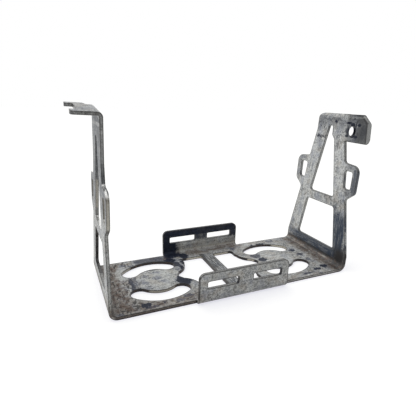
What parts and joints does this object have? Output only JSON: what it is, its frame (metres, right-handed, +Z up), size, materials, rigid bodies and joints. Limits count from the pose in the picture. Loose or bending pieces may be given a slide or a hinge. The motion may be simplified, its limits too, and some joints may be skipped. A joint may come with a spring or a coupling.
{
  "type": "battery bracket",
  "caption": "Folded sheet bracket that holds a small upright battery between two A-shaped arms, with strap flanges, a forked tab and a bolt tab.",
  "frame": {"origin": "centre of the underside of the base, halfway between the arms and the side edges", "axes": "+X along the battery, from the forked arm to the arm with the bolt tab; +Y towards the rear flange; +Z up"},
  "size_m": [0.1913, 0.069, 0.1054],
  "materials": {
    "metal": "dull, stained, unpainted sheet"
  },
  "bodies": {
    "root": {"battery_bracket": "metal"}
  },
  "joints": []
}
